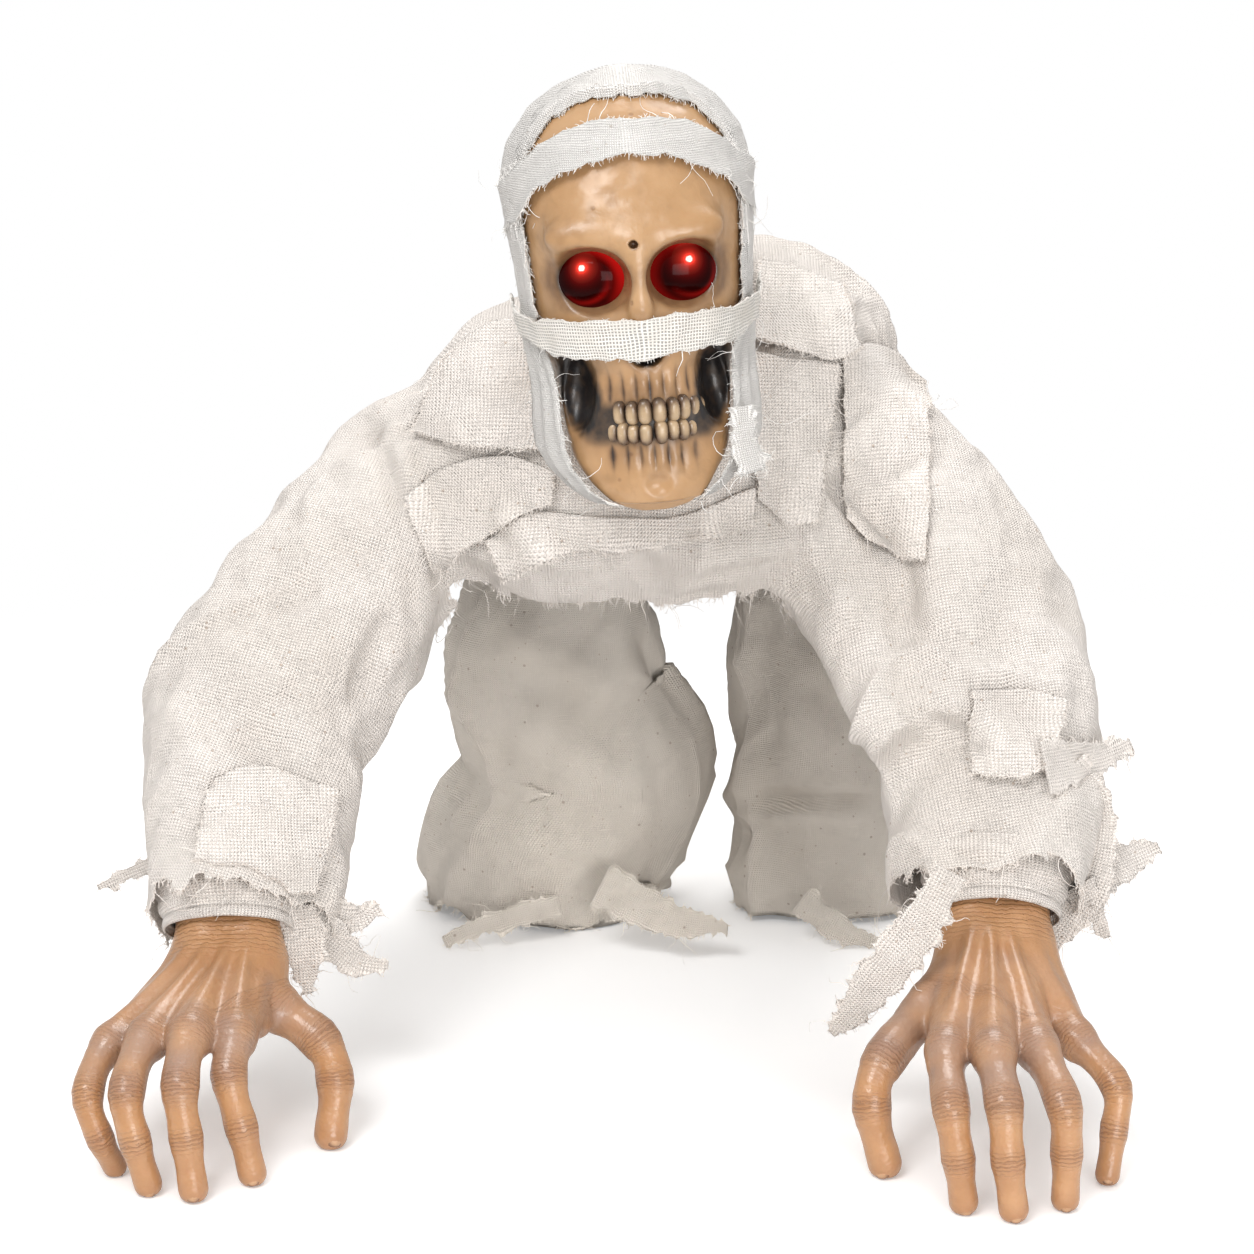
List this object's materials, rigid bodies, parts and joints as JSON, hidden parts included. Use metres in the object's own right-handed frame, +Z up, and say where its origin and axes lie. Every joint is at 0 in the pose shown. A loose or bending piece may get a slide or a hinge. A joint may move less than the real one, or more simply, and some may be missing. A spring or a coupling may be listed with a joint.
{
  "type": "crawling mummy figure",
  "caption": "Crawling mummy figure on clawed hands and bent legs, skull face with red eyes, torn muslin clothes, turning head and a motor that swings the shoulders.",
  "frame": {"origin": "on the floor, below the middle of the figure's outer box", "axes": "+Z up; the figure faces -Y; +X is the figure's left, across its spread arms"},
  "size_m": [0.6369, 0.6017, 0.6069],
  "materials": {
    "dark_plastic": "moulded, fine matt texture",
    "grey_plastic": "moulded, plain",
    "red_plastic": "moulded push button",
    "cell_metal": "plain dry cell",
    "board": "circuit board",
    "speaker_black": "paper cone in a basket",
    "steel_tube": "drawn steel, unpainted",
    "motor_metal": "plated can and turned disc",
    "rubber": "matt black",
    "hand_skin": "cast vinyl, tan with bluish grey washes, glossy",
    "skull_bone": "moulded, tan with brown washes, satin",
    "red_lens": "dark red translucent dome",
    "red_lamp": "clear red lamp",
    "muslin": "off-white muslin with brown flecks and torn edges",
    "bandage": "off-white gauze bandage with frayed edges",
    "gauze": "open-weave gauze, partly see-through"
  },
  "bodies": {
    "legs": {"hip_housing": "dark_plastic", "battery_1": "cell_metal", "battery_2": "cell_metal", "battery_3": "cell_metal", "circuit_board": "board", "speaker": "speaker_black", "spine_tube": "steel_tube", "chest_housing": "dark_plastic", "chest_lid": "dark_plastic", "twist_pin": "steel_tube", "crawl_gearmotor": "motor_metal", "neck_motor": "motor_metal", "right_leg_tube": "steel_tube", "left_leg_tube": "steel_tube", "right_foot_cap": "rubber", "left_foot_cap": "rubber", "right_trouser_leg": "muslin", "left_trouser_leg": "muslin"},
    "shoulders": {"shoulder_yoke": "grey_plastic", "back_hoop": "steel_tube", "right_arm_tube": "steel_tube", "left_arm_tube": "steel_tube", "right_hand": "hand_skin", "left_hand": "hand_skin", "right_sleeve": "muslin", "left_sleeve": "muslin", "shirt": "muslin"},
    "crank": {"crank_disc": "motor_metal"},
    "head": {"skull": "skull_bone", "neck_plug": "grey_plastic", "right_eye_lens": "red_lens", "left_eye_lens": "red_lens", "right_eye_lamp": "red_lamp", "left_eye_lamp": "red_lamp", "head_hood": "bandage", "forehead_strap": "bandage", "nose_gauze": "gauze", "right_jaw_strip": "bandage", "left_jaw_strip": "bandage"},
    "door": {"battery_door": "dark_plastic"},
    "switch": {"power_switch": "grey_plastic"},
    "button": {"test_button": "red_plastic"}
  },
  "joints": [
    {"name": "crawl_twist", "type": "hinge", "parent": "legs", "child": "shoulders", "pos_m": [0.0126, 0.08, 0.366], "axis": [0, 0, 1], "range_deg": [-7.2, 7.2]},
    {"name": "crank_turn", "type": "hinge", "parent": "legs", "child": "crank", "pos_m": [0.0126, 0.125, 0.36], "axis": [0, 0, 1], "range_deg": [-45, 45]},
    {"name": "head_turn", "type": "hinge", "parent": "legs", "child": "head", "pos_m": [0.0096, 0, 0.42], "axis": [0, 0, 1], "range_deg": [-25, 25]},
    {"name": "door_slide", "type": "slide", "parent": "legs", "child": "door", "axis": [0, -1, 0], "range_m": [0, 0.045]},
    {"name": "switch_slide", "type": "slide", "parent": "legs", "child": "switch", "axis": [1, 0, 0], "range_m": [-0.003, 0.003]},
    {"name": "button_press", "type": "slide", "parent": "legs", "child": "button", "axis": [0, -1, 0], "range_m": [0, 0.002], "stiffness_N_per_m": 300}
  ],
  "couplings": [
    {"joint": "crank_turn", "follows": "crawl_twist", "ratio": 6.207}
  ]
}
